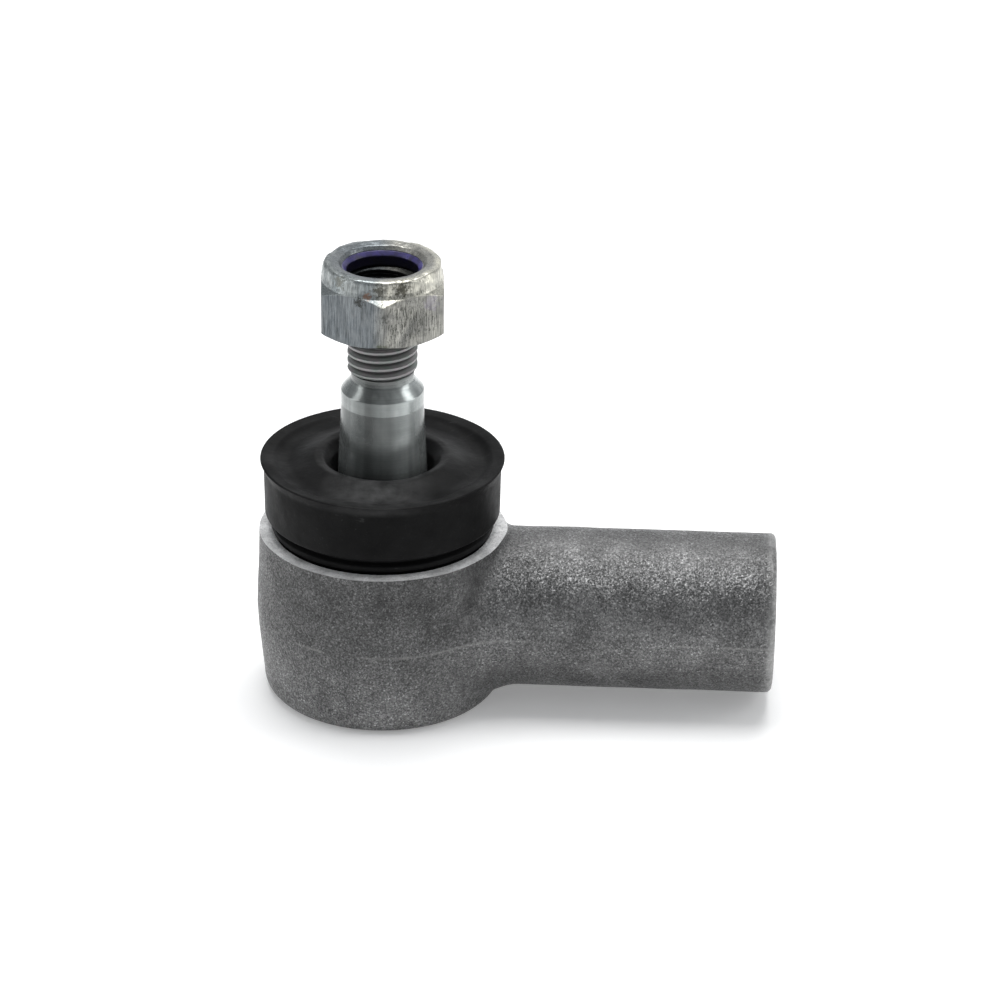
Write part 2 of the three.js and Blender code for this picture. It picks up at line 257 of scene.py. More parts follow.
class Nodes:
    """Short names for building a node tree."""

    def __init__(self, name):
        self.material = bpy.data.materials.new(name)
        self.material.use_nodes = True
        self.tree = self.material.node_tree
        self.shader = self.tree.nodes["Principled BSDF"]
        self.place = self.add("ShaderNodeTexCoord").outputs["Object"]

    def add(self, kind, **settings):
        node = self.tree.nodes.new(kind)
        for key, value in settings.items():
            setattr(node, key, value)
        return node

    def wire(self, source, target):
        self.tree.links.new(source, target)

    def set(self, **values):
        for key, value in values.items():
            self.shader.inputs[key.replace("_", " ")].default_value = value

    def stretched(self, x=1.0, y=1.0, z=1.0):
        """Object coordinates in millimetres, multiplied by a factor along each axis."""
        node = self.add("ShaderNodeMapping")
        node.inputs["Scale"].default_value = (x / MM, y / MM, z / MM)
        self.wire(self.place, node.inputs["Vector"])
        return node.outputs["Vector"]

    def noise(self, scale, detail=4.0, rough=0.55, coords=None, distortion=0.0):
        node = self.add("ShaderNodeTexNoise")
        node.inputs["Scale"].default_value = scale
        node.inputs["Detail"].default_value = detail
        node.inputs["Roughness"].default_value = rough
        node.inputs["Distortion"].default_value = distortion
        self.wire(coords or self.stretched(), node.inputs["Vector"])
        return node.outputs["Fac"]

    def facets(self, scale, tilt, below=None):
        """A random grey for each cell, and a normal that leans its own way in each, as on blasted metal."""
        node = self.add("ShaderNodeTexVoronoi", feature="F1")
        node.inputs["Scale"].default_value = scale
        self.wire(self.stretched(), node.inputs["Vector"])
        lean = self.add("ShaderNodeVectorMath", operation="MULTIPLY_ADD")
        lean.inputs[1].default_value = (tilt,) * 3
        lean.inputs[2].default_value = (-tilt / 2,) * 3
        self.wire(node.outputs["Color"], lean.inputs[0])
        total = self.add("ShaderNodeVectorMath", operation="ADD")
        self.wire(lean.outputs["Vector"], total.inputs[0])
        self.wire(below or self.add("ShaderNodeNewGeometry").outputs["Normal"], total.inputs[1])
        unit = self.add("ShaderNodeVectorMath", operation="NORMALIZE")
        self.wire(total.outputs["Vector"], unit.inputs[0])
        return node.outputs["Color"], unit.outputs["Vector"]

    def near(self, centre, size):
        """1 at a place, falling to 0 at a distance of size millimetres from it, and below 0 beyond."""
        away = self.add("ShaderNodeVectorMath", operation="DISTANCE")
        away.inputs[1].default_value = centre
        self.wire(self.stretched(), away.inputs[0])
        return self.math("SUBTRACT", 1.0, self.math("DIVIDE", away.outputs["Value"], size))

    def spot(self, centre, size, grain=2.2):
        """A ragged smudge: dense near its centre, gone beyond size, in millimetres."""
        broken = self.math("MULTIPLY_ADD", self.noise(grain, 6, 0.8), 3.4, -1.9)
        return self.ramp(self.math("ADD", self.near(centre, size), broken), [(0.18, 0.0), (0.5, 1.0)])

    def ramp(self, source, stops):
        """stops are (position, value or colour)."""
        node = self.add("ShaderNodeValToRGB")
        elements = node.color_ramp.elements
        for i, (position, value) in enumerate(stops):
            element = elements[i] if i < 2 else elements.new(position)
            element.position = position
            colour = value if hasattr(value, "__len__") else (value,) * 3
            element.color = (*colour, 1)
        self.wire(source, node.inputs["Fac"])
        return node.outputs["Color"]

    def math(self, operation, a, b=0.0, c=None):
        node = self.add("ShaderNodeMath", operation=operation)
        for i, value in enumerate([a, b] if c is None else [a, b, c]):
            if isinstance(value, (int, float)):
                node.inputs[i].default_value = value
            else:
                self.wire(value, node.inputs[i])
        return node.outputs["Value"]

    def mix(self, factor, a, b, blend="MIX"):
        node = self.add("ShaderNodeMix", data_type="RGBA", blend_type=blend)
        for socket, value in ((node.inputs[0], factor), (node.inputs[6], a), (node.inputs[7], b)):
            if isinstance(value, (int, float)):
                socket.default_value = value
            elif isinstance(value, tuple):
                socket.default_value = (*value, 1)
            else:
                self.wire(value, socket)
        return node.outputs[2]

    def times(self, a, b):
        return self.mix(1.0, a, b, "MULTIPLY")

    def bump(self, height, distance, strength=1.0, below=None):
        node = self.add("ShaderNodeBump")
        node.inputs["Distance"].default_value = distance * MM
        node.inputs["Strength"].default_value = strength
        self.wire(height, node.inputs["Height"])
        if below is not None:
            self.wire(below, node.inputs["Normal"])
        return node.outputs["Normal"]

    def xyz(self):
        """Object coordinates in millimetres, as three numbers."""
        node = self.add("ShaderNodeSeparateXYZ")
        self.wire(self.stretched(), node.inputs["Vector"])
        return node.outputs

    def radius(self, x, y):
        squares = self.math("ADD", self.math("MULTIPLY", x, x), self.math("MULTIPLY", y, y))
        return self.math("SQRT", squares)

    def over(self, value, start, width):
        """0 below start, 1 above start + width, straight between."""
        rise = self.math("DIVIDE", self.math("SUBTRACT", value, start), width)
        return self.math("MINIMUM", self.math("MAXIMUM", rise, 0.0), 1.0)

    def finish(self, colour=None, roughness=None, normal=None):
        for value, name in ((colour, "Base Color"), (roughness, "Roughness"), (normal, "Normal")):
            if value is not None:
                self.wire(value, self.shader.inputs[name])
        return self.material


# ---------- materials ----------

def forged_steel():
    """Bare shot-blasted forging: fine facets with bright peaks, darker scale, and a faint flash line.

    The bucket's tone is painted shade, tuned to the photograph: lighter at its foot, darker towards its
    rim. The shank's end edge is painted pale in the same way.
    """
    n = Nodes("forged_steel")
    n.set(Metallic=0.8)
    patches = n.noise(0.2, 6, 0.62)
    soft = n.bump(patches, 0.5, 0.4)
    speck = n.noise(3.0, 3, 0.75)
    pitted = n.bump(speck, 0.16, 0.7, soft)
    grey, leaning = n.facets(5.2, 0.36, pitted)
    base = n.ramp(grey, [(0.0, 0.075), (1.0, 0.42), (0.45, 0.135), (0.8, 0.225)])
    base = n.times(base, n.ramp(speck, [(0.35, 0.6), (0.65, 1.25)]))
    base = n.times(base, n.ramp(patches, [(0.32, 0.62), (0.7, 1.22)]))
    x, y, z = n.xyz()
    flash_z, sharpness = AXIS_Z + 0.1, 3.6
    off = n.math("ABSOLUTE", n.math("SUBTRACT", z, flash_z))
    line = n.math("MAXIMUM", n.math("SUBTRACT", 1.0, n.math("MULTIPLY", off, sharpness)), 0.0)
    broken = n.ramp(n.noise(0.09, 4, 0.6, distortion=0.4), [(0.46, 0.0), (0.6, 1.0)])
    line = n.math("MULTIPLY", line, broken)
    base = n.mix(n.math("MULTIPLY", line, 0.5), base, (0.42, 0.42, 0.41))
    rise = n.math("MULTIPLY_ADD", patches, 0.3, n.math("MULTIPLY", z, 0.04))
    shade = n.ramp(rise, [(0.3, 1.2), (0.75, 0.62)])
    on_bucket = n.math("SUBTRACT", 1.0, n.over(x, 10.0, 8.0))
    base = n.mix(on_bucket, base, n.times(base, shade))
    near_end = n.over(x, SHANK_END - 1.6, 1.0)
    near_end = n.math("MULTIPLY", near_end, n.ramp(patches, [(0.4, 0.25), (0.6, 0.8)]))
    base = n.mix(near_end, base, (0.36, 0.36, 0.355))
    rough = n.ramp(speck, [(0.34, 0.52), (0.7, 0.32)])
    flash = n.bump(line, 0.1, 0.6, leaning)
    return n.finish(base, rough, flash)


def machined_steel(name, about_x=False, bright=1.0, metallic=0.85):
    """Turned face: fine rings about the stud's or the shank's axis, torn and nicked in places."""
    n = Nodes(name)
    n.set(Metallic=metallic)
    x, y, z = n.xyz()
    r = n.radius(y, n.math("SUBTRACT", z, AXIS_Z)) if about_x else n.radius(x, y)
    ring_rate = 26.0  # radians of wave for each millimetre outwards
    rings = n.math("SINE", n.math("MULTIPLY", r, ring_rate))
    wander = n.noise(3.0, 3, 0.75)
    patches = n.noise(0.35, 4, 0.6)
    grey, leaning = n.facets(4.4, 0.5, n.bump(wander, 0.1, 0.7))
    colour = n.ramp(grey, [(0.0, 0.22 * bright), (1.0, min(0.95, 0.8 * bright))])
    colour = n.times(colour, n.ramp(patches, [(0.35, 0.7), (0.65, 1.15)]))
    rough = n.ramp(wander, [(0.3, 0.5), (0.7, 0.32)])
    return n.finish(colour, rough, n.bump(rings, 0.02, 0.4, leaning))


def boot_rubber():
    """Matte moulded rubber with faint bloom, dust and hair scratches.

    The grey patch on the front of its top is a painted highlight, tuned to the photograph.
    """
    n = Nodes("boot_rubber")
    n.set(Metallic=0.0, Specular_IOR_Level=0.085)
    bloom = n.noise(0.25, 5, 0.6)
    colour = n.ramp(bloom, [(0.32, (0.002, 0.002, 0.0021)), (0.72, (0.005, 0.005, 0.0051))])
    dust = n.ramp(n.noise(5.5, 2, 0.6), [(0.68, 0.0), (0.76, 1.0)])
    hairs = n.noise(1.0, 2, 0.5, n.stretched(0.35, 5.0, 2.0), distortion=0.8)
    in_places = n.ramp(bloom, [(0.5, 0.0), (0.62, 0.6)])
    hairs = n.math("MULTIPLY", n.ramp(hairs, [(0.66, 0.0), (0.69, 1.0)]), in_places)
    colour = n.mix(n.math("MULTIPLY", dust, 0.2), colour, (0.1, 0.1, 0.1))
    colour = n.mix(n.math("MULTIPLY", hairs, 0.25), colour, (0.09, 0.09, 0.09))
    x, y, z = n.xyz()
    highlight = n.math("MAXIMUM", n.near((0, -10.6, BOOT_HIGH.z), 8.5), 0.0)
    highlight = n.math("MULTIPLY", highlight, n.ramp(n.noise(0.45, 4, 0.6), [(0.32, 0.35), (0.68, 1.0)]))
    highlight = n.math("MULTIPLY", highlight, n.over(z, BOOT_HIGH.z - 1.7, 0.9))
    colour = n.mix(highlight, colour, (0.105, 0.105, 0.105))
    worn = n.ramp(n.math("MULTIPLY", n.radius(x, y), 0.05), [(0.55, 0.75), (0.68, 1.0)])
    rough = n.times(n.ramp(bloom, [(0.3, 0.58), (0.75, 0.42)]), worn)
    skin = n.bump(n.noise(4.0, 4, 0.6), 0.03, 0.5)
    waves = n.bump(n.noise(0.5, 2), 0.25, 0.3, skin)
    return n.finish(colour, rough, waves)


def stud_steel():
    """Ground and rolled steel under a thin film of oil: fine rings round the axis, and painted shade in the
    thread's roots.

    The bands across it, the bright land and the bright foot are painted reflections, tuned to the photograph.
    """
    n = Nodes("stud_steel")
    n.set(Metallic=0.7)
    rings = n.noise(1.0, 3, 0.7, n.stretched(0.12, 0.12, 9.0))
    stain = n.noise(0.3, 4, 0.6)
    x, y, z = n.xyz()
    bands = n.noise(1.0, 2, 0.5, n.stretched(0.42, 0.42, 0.012))
    colour = n.ramp(stain, [(0.3, (0.15, 0.162, 0.16)), (0.7, (0.205, 0.217, 0.213))])
    colour = n.times(colour, n.ramp(bands, [(0.36, 0.72), (0.62, 1.3)]))
    colour = n.times(colour, n.ramp(rings, [(0.3, 0.86), (0.7, 1.06)]))
    reflections = [(0.02, 0.9), (0.95, 0.8), (0.38, 0.46), (0.62, 0.52), (0.8, 1.3)]
    painted = n.ramp(n.math("MULTIPLY_ADD", x, 0.08, 0.5), reflections)
    colour = n.times(colour, painted)
    above_land = n.over(z, RELIEF_FOOT - 0.3, 0.4)
    land = n.math("MULTIPLY", n.over(z, TAPER_TOP - 0.05, 0.1), n.math("SUBTRACT", 1.0, above_land))
    colour = n.mix(land, colour, n.times(colour, (1.9, 1.9, 1.9)))
    colour = n.times(colour, n.ramp(n.over(z, 33.5, 8.0), [(0.0, 2.6), (1.0, 1.0)]))
    threaded = n.over(z, STUD_THREAD_FOOT - 0.6, 1.0)
    tints = n.ramp(n.noise(0.8, 4, 0.6), [(0.38, (0.24, 0.265, 0.25)), (0.62, (0.29, 0.27, 0.28))])
    # painted shade: the thread is darker in its roots than on its crests
    root_shade = n.ramp(n.math("MULTIPLY", n.radius(x, y), 0.1), [(0.424, 0.2), (0.462, 1.0)])
    colour = n.mix(threaded, colour, n.times(tints, root_shade))
    rough = n.mix(threaded, n.ramp(stain, [(0.3, 0.26), (0.7, 0.16)]), (0.5, 0.5, 0.5))
    normal = n.bump(rings, 0.012, 0.3)
    normal = n.bump(n.noise(2.2, 4, 0.7), 0.03, 0.2, normal)
    return n.finish(colour, rough, normal)


def zinc_plate():
    """Bright zinc: faint streaks up the flats, black scratches, olive and brown stains, handling marks.

    The cool left, warm right, bright chamfer and dark thread are painted light and shade, tuned to the
    photograph. The marks are only on the side that it shows, and some may be reflections in it.
    """
    n = Nodes("zinc_plate")
    n.set(Metallic=0.9)
    x, y, z = n.xyz()
    streaks = n.noise(1.0, 4, 0.75, n.stretched(4.5, 4.5, 0.3))
    clouds = n.noise(0.33, 5, 0.65, distortion=0.6)
    cool = n.ramp(clouds, [(0.3, (0.122, 0.138, 0.15)), (0.7, (0.195, 0.21, 0.218))])
    warm = n.ramp(clouds, [(0.3, (0.2, 0.2, 0.19)), (0.7, (0.39, 0.385, 0.35))])
    side = n.over(x, -0.778, 2.222)
    colour = n.mix(side, cool, warm)
    colour = n.times(colour, n.ramp(streaks, [(0.38, 0.55), (0.6, 1.15)]))
    top = NUT_LOW.z + NUT_HEX_HEIGHT
    r = n.radius(x, y)
    spread, edge = 1.48, COLLAR_R + 0.1  # the chamfer's run for each unit of its drop, and its inner edge
    chamfer = n.over(n.math("MULTIPLY_ADD", z, spread, r), edge + spread * top, 0.08)
    bright = n.math("MULTIPLY", chamfer, n.over(r, 7.0, 0.6))
    colour = n.mix(bright, colour, n.times(colour, (1.7, 1.68, 1.6)))
    scratches = n.noise(1.0, 5, 0.8, n.stretched(5.0, 5.0, 0.9))
    scratched = n.spot((4.2, -7.4, top - 3.2), 7.0, 0.7)
    scratches = n.math("MULTIPLY", n.ramp(scratches, [(0.49, 0.0), (0.54, 1.0)]), scratched)
    colour = n.mix(n.math("MULTIPLY", scratches, 0.85), colour, (0.05, 0.052, 0.045))
    violet = n.spot((7.0, -5.2, top - 1.4), 2.0, 1.1)
    colour = n.mix(n.math("MULTIPLY", violet, 0.3), colour, (0.2, 0.175, 0.26))
    for centre, size, strength, tint in (
        ((-2.7, -8.3, top - 0.5), 1.3, 0.85, (0.03, 0.03, 0.026)),
        ((3.2, -7.7, top + 1.4), 1.9, 0.85, (0.045, 0.042, 0.03)),
        ((0.2, -8.3, top + 1.3), 1.6, 0.8, (0.05, 0.047, 0.036)),
        ((-5.6, -6.2, top + 1.6), 1.7, 0.6, (0.09, 0.085, 0.06)),
        ((-1.6, -8.3, top + 0.4), 1.0, 0.7, (0.2, 0.1, 0.055)),
        ((0.6, -9.6, NUT_LOW.z + 0.5), 1.6, 0.7, (0.06, 0.07, 0.04)),
    ):
        colour = n.mix(n.math("MULTIPLY", n.spot(centre, size), strength), colour, tint)
    inside = n.ramp(n.math("MULTIPLY", r, 0.1), [(0.52, 0.16), (0.56, 1.0)])
    colour = n.times(colour, inside)
    rough = n.ramp(streaks, [(0.3, 0.42), (0.7, 0.24)])
    normal = n.bump(streaks, 0.04, 0.4)
    normal = n.bump(n.noise(2.4, 5, 0.7), 0.06, 0.35, normal)
    normal = n.bump(n.noise(0.5, 2), 0.35, 0.3, normal)
    return n.finish(colour, rough, normal)


def nylon():
    """Dyed nylon ring: blue-violet on its top, with painted shade darkening it below the top and in its bore.
    """
    n = Nodes("nylon")
    n.set(Metallic=0.0)
    x, y, z = n.xyz()
    cloud = n.noise(0.9, 4)
    colour = n.ramp(cloud, [(0.3, (0.014, 0.011, 0.055)), (0.7, (0.05, 0.041, 0.18))])
    # painted shade: the ring is darkened below its top
    near_top = n.over(n.math("MULTIPLY_ADD", cloud, 0.7, z), NYLON_HIGH.z - 0.35, 0.35)
    colour = n.times(colour, n.ramp(near_top, [(0.0, 0.1), (1.0, 1.0)]))
    rough = n.ramp(cloud, [(0.3, 0.42), (0.7, 0.26)])
    return n.finish(colour, rough, n.bump(n.noise(3.0, 3), 0.04, 0.4))


def seat_plastic():
    """Natural acetal, slightly cloudy."""
    n = Nodes("seat_plastic")
    cloud = n.noise(0.4, 4)
    colour = n.ramp(cloud, [(0.3, (0.7, 0.67, 0.58)), (0.7, (0.84, 0.82, 0.75))])
    rough = n.ramp(cloud, [(0.3, 0.5), (0.7, 0.38)])
    return n.finish(colour, rough, n.bump(n.noise(2.5, 3), 0.04, 0.4))


def spring_steel():
    """Dark, oiled spring steel."""
    n = Nodes("spring_steel")
    n.set(Metallic=1.0)
    cloud = n.noise(0.9, 5, 0.65)
    colour = n.ramp(cloud, [(0.3, (0.1, 0.1, 0.105)), (0.7, (0.26, 0.265, 0.27))])
    rough = n.ramp(cloud, [(0.3, 0.5), (0.7, 0.32)])
    return n.finish(colour, rough, n.bump(n.noise(3.0, 4), 0.05, 0.4))


def floor_paint():
    """A pale light table, which softens the shadow on it."""
    n = Nodes("floor_paint")
    tone = n.ramp(n.noise(0.02, 3), [(0.3, 0.86), (0.7, 0.88)])
    n.set(Roughness=0.9, Specular_IOR_Level=0.2, Emission_Color=(1, 1, 1, 1), Emission_Strength=0.2)
    return n.finish(tone)


# ---------- housing ----------

def rounded_corner(a, b, radius):
    """Distance to the inside corner of two half spaces, rounded."""
    a, b = a + radius, b + radius
    outside = np.hypot(np.maximum(a, 0), np.maximum(b, 0))
    return np.minimum(np.maximum(a, b), 0) + outside - radius


def forging_distance(p):
    """Distance from the forging's skin, negative inside: a drafted bucket, joined smoothly to the shank."""
    x, y, z = p[:, 0], p[:, 1], p[:, 2]
    levels = [FOOT_ROUND, AXIS_Z - 3, AXIS_Z, RIM_Z]
    wall = np.interp(z, levels, [FOOT_R, PARTING_R - 0.16, PARTING_R, RIM_R])
    bucket = rounded_corner(np.hypot(x, y) - wall, -z, FOOT_ROUND)
    bucket = np.maximum(bucket, z - RIM_Z - 1)
    shank = rounded_corner(np.hypot(y, z - AXIS_Z) - SHANK_R, x - SHANK_END, SHANK_ROUND)
    shank = np.maximum(shank, -x)
    fillet = FILLET_TOP + (FILLET_FOOT - FILLET_TOP) * smoothstep((AXIS_Z + 6 - z) / 10)
    fillet = 1.0 + (fillet - 1.0) * smoothstep((z - 0.6) / 3.4)
    share = np.clip(0.5 + 0.5 * (shank - bucket) / fillet, 0, 1)
    return shank * (1 - share) + bucket * share - fillet * share * (1 - share)


def onto_skin(points, distance, rounds=6):
    """Moves points along the distance field's slope until they lie on its zero."""
    step = 0.02
    for _ in range(rounds):
        slope = np.stack(
            [
                (distance(points + step * axis) - distance(points - step * axis)) / (2 * step)
                for axis in np.eye(3)
            ],
            1,
        )
        length = np.maximum((slope**2).sum(1), 0.2)
        points = points - slope * (distance(points) / length)[:, None]
    return points


def rough_forging():
    """A closed mesh near the forging's skin, evenly meshed."""
    sides = 96
    rise = np.array([0.3, 2.4, AXIS_Z, RIM_Z + 0.8])
    walls = [FOOT_R - 2, FOOT_R + 0.1, PARTING_R, RIM_R]
    bucket = turned_solid("bucket", walls, rise, sides, (rise[0], rise[-1]))
    run = np.array([2.0, SHANK_END - 0.4])
    tube = turned_solid("tube", [SHANK_R, SHANK_R], run, sides, tuple(run))
    along_x(tube)
    body = link(bucket, "housing_skin", [])
    other = link(tube, "tube", [])
    union = body.modifiers.new("join", "BOOLEAN")
    union.operation = "UNION"
    union.solver = "EXACT"
    union.object = other
    remesh = body.modifiers.new("even", "REMESH")
    remesh.mode = "VOXEL"
    remesh.voxel_size = 0.4 * MM
    apply_modifiers(body)
    bpy.data.objects.remove(other)
    return body


def settle_forging(body):
    """Puts every vertex on the forging's skin, with the slight unevenness of a die-forged surface."""
    mesh = body.data
    points = np.zeros(len(mesh.vertices) * 3, np.float64)
    mesh.vertices.foreach_get("co", points)
    points = onto_skin(points.reshape(-1, 3) / MM, forging_distance)
    uneven = np.array([noise.noise(Vector(p) * 0.16) for p in points])
    fine = np.array([noise.noise(Vector(p) * 0.9 + Vector((7, 3, 5))) for p in points])
    step = 0.05
    slope = np.stack(
        [forging_distance(points + step * a) - forging_distance(points - step * a) for a in np.eye(3)], 1
    )
    slope /= np.maximum(np.linalg.norm(slope, axis=1), 1e-6)[:, None]
    depth_of_faces = np.minimum(points[:, 2], SHANK_END - points[:, 0])
    unevenness = (0.09 * uneven + 0.025 * fine) * smoothstep(depth_of_faces / 1.5)
    points = points + slope * unevenness[:, None]
    mesh.vertices.foreach_set("co", (points * MM).astype(np.float32).ravel())
    mesh.update()


def bore_tool():
    """The mouth, the main bore and the circlip groove, open above the rim."""
    top = RIM_Z + 3
    outline = rounded(
        [
            (0.5, BORE_FLOOR),
            (BORE_R, BORE_FLOOR, 0.8),
            (BORE_R, MOUTH_FLOOR),
            (MOUTH_R, MOUTH_FLOOR, 0.2),
            (MOUTH_R, GROOVE_FLOOR),
            (GROOVE_R, GROOVE_FLOOR),
            (GROOVE_R, GROOVE_TOP),
            (MOUTH_R, GROOVE_TOP),
            (MOUTH_R, RIM_Z - 0.25),
            (MOUTH_R + 0.25, RIM_Z),
            (MOUTH_R + 0.25, top),
            (0.5, top),
        ]
    )
    mesh = turned_solid("bore_tool", outline[:, 0], outline[:, 1], 192, (BORE_FLOOR, top))
    return link(mesh, "bore_tool", [RIM_STEEL])


def rim_tool():
    """A slab that takes the forging down to the rim."""
    reach, rise = 60, (RIM_Z, RIM_Z + 6)
    mesh = turned_solid("rim_tool", [reach, reach], rise, 12, rise)
    return link(mesh, "rim_tool", [RIM_STEEL])


def shank_bore_tool():
    """The shank's bore, with its countersink, drill point and M14 x 1.5 thread."""
    t = SHANK_THREAD
    bottom = SHANK_END - t["depth"]
    threaded = np.arange(bottom + 3, SHANK_END + 1.0, 0.1)
    angles = np.linspace(0, 2 * math.pi, 96, endpoint=False)
    wave = thread_radius(threaded, angles, t["pitch"], t["minor"], t["major"], 0.2)
    countersink = t["mouth"] + (threaded - SHANK_END)
    wave = np.maximum(wave, countersink[:, None])
    plain = np.repeat([[0.4], [t["minor"]], [t["minor"]]], len(angles), 1)
    radius = np.vstack([plain, wave])
    heights = np.concatenate([[bottom - 3.5, bottom, bottom + 2.9], threaded])
    mesh = turned_solid("thread_tool", radius, heights, len(angles), (bottom - 3.7, heights[-1]))
    along_x(mesh)
    return link(mesh, "thread_tool", [BORE_STEEL])


def end_face_tool():
    """A thin slab that faces the shank's end, so that it gets the turned finish."""
    r, run = SHANK_R - 0.55, (SHANK_END - 0.04, SHANK_END + 2)
    mesh = turned_solid("face_tool", [r, r], run, 96, run)
    along_x(mesh)
    return link(mesh, "face_tool", [FACE_STEEL])


def make_housing():
    body = rough_forging()
    settle_forging(body)
    body.data.materials.clear()
    for material in (FORGED, RIM_STEEL, FACE_STEEL, BORE_STEEL):
        body.data.materials.append(material)
    for tool in (rim_tool(), bore_tool(), end_face_tool(), shank_bore_tool()):
        cut(body, tool)
    clean(body)
    body.data.shade_smooth()
    body.data.set_sharp_from_angle(angle=math.radians(40))
    body.name = "housing_forging"
    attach(body, "housing_body")
    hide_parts("housing")
    return body


# ---------- dust boot ----------

def boot_outline():
    """Outside up from the bead to the rim, over the dished top to the neck, and back down inside."""
    rim_r, rim_z, foot = BOOT_HIGH.x, BOOT_HIGH.z, BOOT_LOW.z
    wall = rim_r - 0.5
    return rounded(
        [
            (BEAD_INNER_R, foot, 0.3),
            (BEAD_OUTER_R, foot, 0.4),
            (BEAD_OUTER_R, RIM_Z + 0.3, 0.2),
            (15.95, RIM_Z + 0.6, 0.35),
            (15.95, RIM_Z + 1.3, 0.35),
            (15.2, RIM_Z + 1.75, 0.25),
            (15.2, RIM_Z + 2.3, 0.3),
            (wall - 0.1, RIM_Z + 2.7, 0.6),
            (wall, rim_z - 1.3, 1.5),
            (rim_r, rim_z - 0.12, 0.1),
            (rim_r - 0.25, rim_z, 0.15),
            (rim_r - 1.8, rim_z - 0.2, 1.0),
            (14.7, rim_z - 0.75, 3.0),
            (13.4, rim_z - 0.8, 2.2),
            (9.6, rim_z + 0.3, 1.5),
            (8.5, rim_z + 0.15, 1.0),
            (7.3, rim_z - 1.1, 1.2),
            (BOOT_NECK_R - 0.1, rim_z - 2.4, 1.0),
            (BOOT_NECK_R, 30.1, 0.2),
            (7.9, 30.1, 0.3),
            (7.9, 32.2, 0.8),
            (9.0, rim_z - 2.1, 1.2),
            (wall - 1.5, rim_z - 2.3, 0.8),
            (wall - 1.5, 29.9, 0.8),
            (BEAD_INNER_R + 0.1, 28.3, 0.5),
            (BEAD_INNER_R, 27.0, 0.3),
        ],
        steps=6,
    )


def make_boot():
    outline = finer(boot_outline(), 0.55)
    mesh = turned_ring("dust_boot_skin", outline[:, 0], outline[:, 1], 192)
    points = np.zeros(len(mesh.vertices) * 3)
    mesh.vertices.foreach_get("co", points)
    points = points.reshape(-1, 3) / MM
    r = np.hypot(points[:, 0], points[:, 1])
    slack = smoothstep((points[:, 2] - 29.5) / 4) * smoothstep((17.3 - r) / 1.5 + 0.2)
    sag = np.array([noise.noise(Vector((p[0], p[1], 0)) * 0.14 + Vector((3.1, 8.2, 0))) for p in points])
    points[:, 2] += 0.42 * slack * sag * smoothstep((r - BOOT_NECK_R) / 2.5)
    mesh.vertices.foreach_set("co", (points * MM).astype(np.float32).ravel())
    boot = link(mesh, "dust_boot_skin", [RUBBER], 50)
    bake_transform(boot)
    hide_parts("dust_boot")
    return boot


# ---------- ball stud ----------

def make_stud():
    end, ball_foot = STUD_HIGH.z, STUD_LOW.z
    foot_angle = -math.asin((AXIS_Z - ball_foot) / BALL_R)
    neck_angle = math.acos(NECK_R / BALL_R)
    ball = [
        (BALL_R * math.cos(a), AXIS_Z + BALL_R * math.sin(a))
        for a in np.linspace(foot_angle, neck_angle, 40)
    ]
    shape = rounded(
        [
            (NECK_R, 21.6),
            (NECK_R, 25.4, 1.5),
            (TAPER_FOOT_R, TAPER_FOOT - 0.4, 1.0),
            (TAPER_FOOT_R, TAPER_FOOT, 0.6),
            (TAPER_TOP_R, TAPER_TOP),
            (LAND_R, TAPER_TOP + 0.05),
            (LAND_R, LAND_TOP, 0.25),
            (RELIEF_R + 0.35, RELIEF_FOOT - 0.5, 0.4),
            (RELIEF_R, RELIEF_FOOT, 0.4),
            (RELIEF_R, STUD_THREAD_FOOT),
        ]
    )
    lower = np.vstack([[[1.2, ball_foot]], ball, finer(shape, 0.6, closed=False)])
    angles = np.linspace(0, 2 * math.pi, 128, endpoint=False)
    rows = np.arange(STUD_THREAD_FOOT + 0.05, end, 0.05)
    wave = thread_radius(rows, angles, STUD_PITCH, STUD_ROOT_R, STUD_CREST_R, 0.32, start=THREAD_START)
    start_cone = 4.4 + (rows - STUD_THREAD_FOOT) * 0.9
    end_cone = 4.0 + (end - rows) * 1.0
    wave = np.minimum(wave, np.minimum(start_cone, end_cone)[:, None])
    last = np.full((2, len(angles)), 3.9)
    last[1] = 0.9
    radius = np.vstack([np.repeat(lower[:, :1], len(angles), 1), wave, last])
    heights = np.concatenate([lower[:, 1], rows, [end, end]])
    mesh = turned_solid("ball_stud_metal", radius, heights, len(angles), (ball_foot, end))
    stud = link(mesh, "ball_stud_metal", [STUD], 30)
    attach(stud, "stud_body")
    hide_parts("ball_stud")
    return stud


# ---------- lock nut and nylon insert ----------

def hexagon_radius(angles, flats, corner_round):
    """Radius of a hexagon with slightly rounded corners."""
    corner = flats / math.sqrt(3)
    turn = (angles - HEX_TURN + math.pi / 2) % (math.pi / 3) - math.pi / 6
    flat = flats / 2 / np.cos(turn)
    return np.minimum(flat, corner - corner_round)


